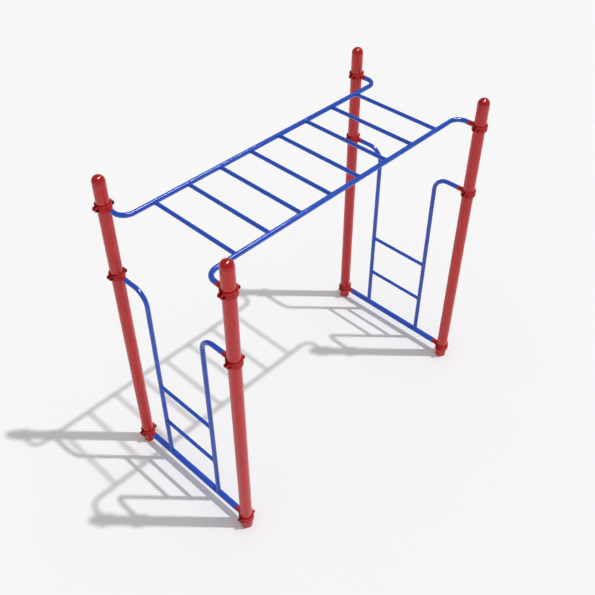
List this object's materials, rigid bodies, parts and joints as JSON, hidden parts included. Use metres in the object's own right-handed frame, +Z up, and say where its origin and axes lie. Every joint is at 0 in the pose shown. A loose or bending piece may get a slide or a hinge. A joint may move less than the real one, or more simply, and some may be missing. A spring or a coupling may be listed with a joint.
{
  "type": "monkey bars",
  "caption": "Playground monkey bars: an overhead ladder and an access ladder at each end, clamped between round posts with domed caps.",
  "frame": {"origin": "on the ground midway between the four posts, which is the centre of the bottom of the bounding box", "axes": "+X along the overhead ladder from the near end to the far end, +Y across it from the right side to the left side, +Z up"},
  "size_m": [2.5864, 1.277, 2.569],
  "materials": {
    "red_post_coat": "semi-gloss red powder coat on steel tube",
    "red_cap_coat": "gloss red powder coat on a cast aluminium cap",
    "red_clamp_coat": "semi-gloss red powder coat on cast aluminium",
    "blue_tube_coat": "gloss blue powder coat on steel tube",
    "dark_bolt_steel": "dark phosphated steel bolts and nuts"
  },
  "bodies": {
    "root": {"access_rung_far_lower": "blue_tube_coat", "access_rung_far_upper": "blue_tube_coat", "access_rung_near_lower": "blue_tube_coat", "access_rung_near_upper": "blue_tube_coat", "bottom_rail_far": "blue_tube_coat", "bottom_rail_near": "blue_tube_coat", "cap_rivets": "red_cap_coat", "clamp_bolts_far_left": "dark_bolt_steel", "clamp_bolts_far_right": "dark_bolt_steel", "clamp_bolts_near_left": "dark_bolt_steel", "clamp_bolts_near_right": "dark_bolt_steel", "clamp_bottom_far_left_inner": "red_clamp_coat", "clamp_bottom_far_left_outer": "red_clamp_coat", "clamp_bottom_far_right_inner": "red_clamp_coat", "clamp_bottom_far_right_outer": "red_clamp_coat", "clamp_bottom_near_left_inner": "red_clamp_coat", "clamp_bottom_near_left_outer": "red_clamp_coat", "clamp_bottom_near_right_inner": "red_clamp_coat", "clamp_bottom_near_right_outer": "red_clamp_coat", "clamp_middle_far_left_inner": "red_clamp_coat", "clamp_middle_far_left_outer": "red_clamp_coat", "clamp_middle_far_right_inner": "red_clamp_coat", "clamp_middle_far_right_outer": "red_clamp_coat", "clamp_middle_near_left_inner": "red_clamp_coat", "clamp_middle_near_left_outer": "red_clamp_coat", "clamp_middle_near_right_inner": "red_clamp_coat", "clamp_middle_near_right_outer": "red_clamp_coat", "clamp_nuts": "dark_bolt_steel", "clamp_top_far_left_inner": "red_clamp_coat", "clamp_top_far_left_outer": "red_clamp_coat", "clamp_top_far_right_inner": "red_clamp_coat", "clamp_top_far_right_outer": "red_clamp_coat", "clamp_top_near_left_inner": "red_clamp_coat", "clamp_top_near_left_outer": "red_clamp_coat", "clamp_top_near_right_inner": "red_clamp_coat", "clamp_top_near_right_outer": "red_clamp_coat", "overhead_rung_1": "blue_tube_coat", "overhead_rung_2": "blue_tube_coat", "overhead_rung_3": "blue_tube_coat", "overhead_rung_4": "blue_tube_coat", "overhead_rung_5": "blue_tube_coat", "overhead_rung_6": "blue_tube_coat", "overhead_rung_7": "blue_tube_coat", "overhead_rung_8": "blue_tube_coat", "post_cap_far_left": "red_cap_coat", "post_cap_far_right": "red_cap_coat", "post_cap_near_left": "red_cap_coat", "post_cap_near_right": "red_cap_coat", "post_far_left": "red_post_coat", "post_far_right": "red_post_coat", "post_near_left": "red_post_coat", "post_near_right": "red_post_coat", "side_rail_left": "blue_tube_coat", "side_rail_right": "blue_tube_coat", "tube_rivets": "blue_tube_coat", "upright_far_left": "blue_tube_coat", "upright_far_right": "blue_tube_coat", "upright_near_left": "blue_tube_coat", "upright_near_right": "blue_tube_coat"}
  },
  "joints": []
}
